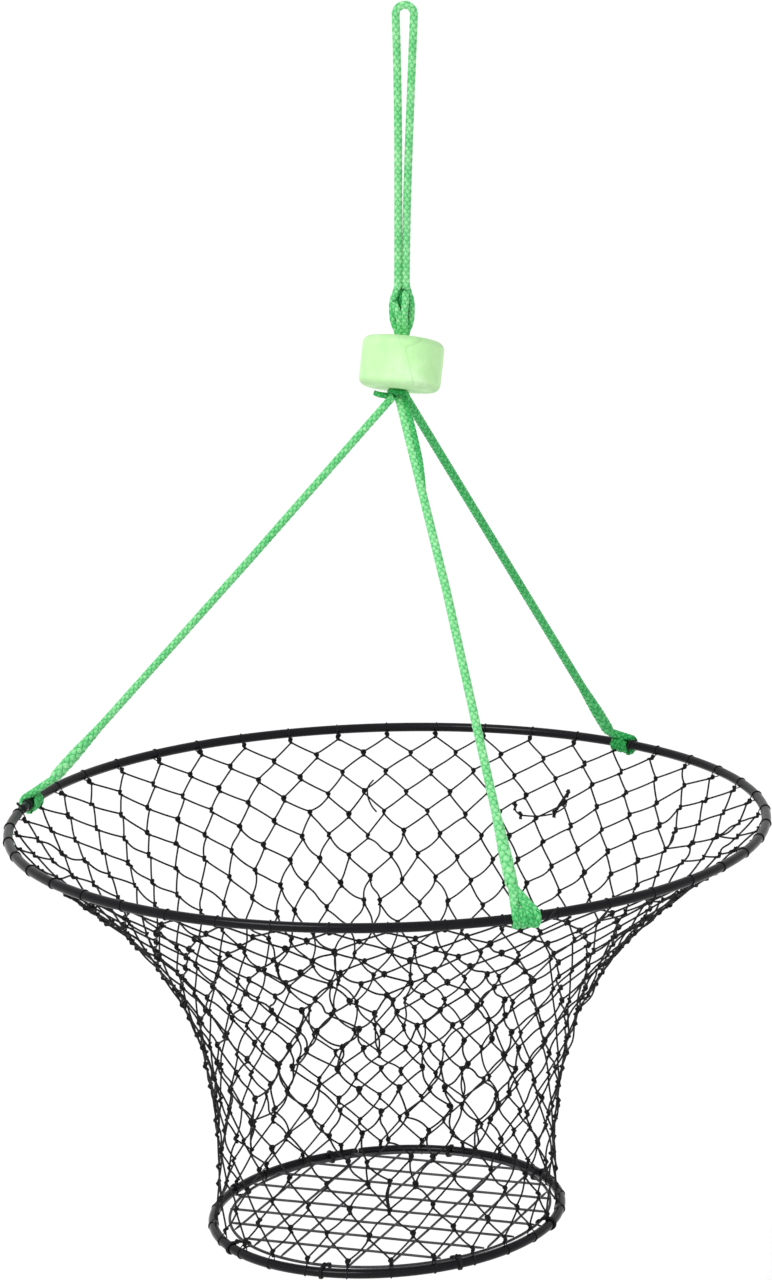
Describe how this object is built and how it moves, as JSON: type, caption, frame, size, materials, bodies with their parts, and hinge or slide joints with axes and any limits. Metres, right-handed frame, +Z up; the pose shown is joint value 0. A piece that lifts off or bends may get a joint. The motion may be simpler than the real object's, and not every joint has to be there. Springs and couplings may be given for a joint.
{
  "type": "folding crab trap",
  "caption": "Hanging folding crab trap: a wide and a narrow steel hoop joined by a flared net wall, with a wire mesh floor, rope bridle, foam float and carry loop.",
  "frame": {"origin": "where a hook or hand bears on the inside top of the carry loop, which is what holds the trap up", "axes": "+Z up along the hanging rope, +X to the right and +Y away, seen from the front, where the middle bridle leg comes down"},
  "size_m": [0.7622, 0.7624, 1.2346],
  "materials": {
    "hoop_steel": "satin",
    "hoop_vinyl": "gloss",
    "floor_wire": "satin",
    "black_twine": "matte",
    "green_rope": "satin",
    "float_foam": "matte"
  },
  "bodies": {
    "harness": {"carry_loop": "green_rope", "loop_knot": "green_rope", "rope_core": "green_rope", "stopper_knot": "green_rope", "bridle_leg_left": "green_rope", "bridle_leg_middle": "green_rope", "bridle_leg_right": "green_rope", "leg_splice_left": "green_rope", "leg_splice_middle": "green_rope", "leg_splice_right": "green_rope"},
    "float": {"float": "float_foam"},
    "upper_hoop": {"upper_hoop_rod": "hoop_steel", "upper_hoop_sleeve": "hoop_vinyl", "hoop_lashing_left": "green_rope", "hoop_lashing_middle": "green_rope", "hoop_lashing_right": "green_rope"},
    "lower_hoop": {"lower_hoop_rod": "hoop_steel", "lower_hoop_sleeve": "hoop_vinyl", "floor_rim": "floor_wire", "floor_wire_across_1": "floor_wire", "floor_wire_across_2": "floor_wire", "floor_wire_across_3": "floor_wire", "floor_wire_across_4": "floor_wire", "floor_wire_across_5": "floor_wire", "floor_wire_across_6": "floor_wire", "floor_wire_across_7": "floor_wire", "floor_wire_across_8": "floor_wire", "floor_wire_along_1": "floor_wire", "floor_wire_along_2": "floor_wire", "floor_wire_along_3": "floor_wire", "floor_wire_along_4": "floor_wire", "floor_wire_along_5": "floor_wire", "floor_wire_along_6": "floor_wire", "floor_wire_along_7": "floor_wire", "floor_wire_along_8": "floor_wire", "floor_tie_1": "black_twine", "floor_tie_2": "black_twine", "floor_tie_3": "black_twine", "floor_tie_4": "black_twine", "floor_tie_5": "black_twine", "floor_tie_6": "black_twine", "floor_tie_7": "black_twine", "floor_tie_8": "black_twine"},
    "net_band_1": {"net_band_1": "black_twine"},
    "net_band_2": {"net_band_2": "black_twine"},
    "net_band_3": {"net_band_3": "black_twine"},
    "net_band_4": {"net_band_4": "black_twine"},
    "net_band_5": {"net_band_5": "black_twine"},
    "net_band_6": {"net_band_6": "black_twine"},
    "net_band_7": {"net_band_7": "black_twine"},
    "net_band_8": {"net_band_8": "black_twine"}
  },
  "joints": [
    {"name": "float_spin", "type": "hinge", "parent": "harness", "child": "float", "pos_m": [-0.0026, 0, -0.3425], "axis": [0.1105, 0.241, 0.9642], "continuous": true},
    {"name": "harness_fold", "type": "slide", "parent": "harness", "child": "upper_hoop", "axis": [0, 0, 1], "range_m": [0, 0.395], "deforming": ["bridle_leg_left", "bridle_leg_middle", "bridle_leg_right", "leg_splice_left", "leg_splice_middle", "leg_splice_right"]},
    {"name": "basket_fold", "type": "slide", "parent": "upper_hoop", "child": "lower_hoop", "axis": [0, 0, 1], "range_m": [0, 0.39]},
    {"name": "net_band_1_fold", "type": "slide", "parent": "upper_hoop", "child": "net_band_1", "axis": [0, 0, 1], "range_m": [0, 0.0338], "deforming": ["net_band_1"]},
    {"name": "net_band_2_fold", "type": "slide", "parent": "upper_hoop", "child": "net_band_2", "axis": [0, 0, 1], "range_m": [0, 0.0803], "deforming": ["net_band_2"]},
    {"name": "net_band_3_fold", "type": "slide", "parent": "upper_hoop", "child": "net_band_3", "axis": [0, 0, 1], "range_m": [0, 0.1267], "deforming": ["net_band_3"]},
    {"name": "net_band_4_fold", "type": "slide", "parent": "upper_hoop", "child": "net_band_4", "axis": [0, 0, 1], "range_m": [0, 0.1731], "deforming": ["net_band_4"]},
    {"name": "net_band_5_fold", "type": "slide", "parent": "upper_hoop", "child": "net_band_5", "axis": [0, 0, 1], "range_m": [0, 0.2196], "deforming": ["net_band_5"]},
    {"name": "net_band_6_fold", "type": "slide", "parent": "upper_hoop", "child": "net_band_6", "axis": [0, 0, 1], "range_m": [0, 0.266], "deforming": ["net_band_6"]},
    {"name": "net_band_7_fold", "type": "slide", "parent": "upper_hoop", "child": "net_band_7", "axis": [0, 0, 1], "range_m": [0, 0.3124], "deforming": ["net_band_7"]},
    {"name": "net_band_8_fold", "type": "slide", "parent": "upper_hoop", "child": "net_band_8", "axis": [0, 0, 1], "range_m": [0, 0.3589], "deforming": ["net_band_8"]}
  ],
  "couplings": [
    {"joint": "net_band_1_fold", "follows": "basket_fold", "ratio": 0.0863},
    {"joint": "net_band_2_fold", "follows": "basket_fold", "ratio": 0.2054},
    {"joint": "net_band_3_fold", "follows": "basket_fold", "ratio": 0.3244},
    {"joint": "net_band_4_fold", "follows": "basket_fold", "ratio": 0.4435},
    {"joint": "net_band_5_fold", "follows": "basket_fold", "ratio": 0.5626},
    {"joint": "net_band_6_fold", "follows": "basket_fold", "ratio": 0.6816},
    {"joint": "net_band_7_fold", "follows": "basket_fold", "ratio": 0.8007},
    {"joint": "net_band_8_fold", "follows": "basket_fold", "ratio": 0.9198}
  ]
}
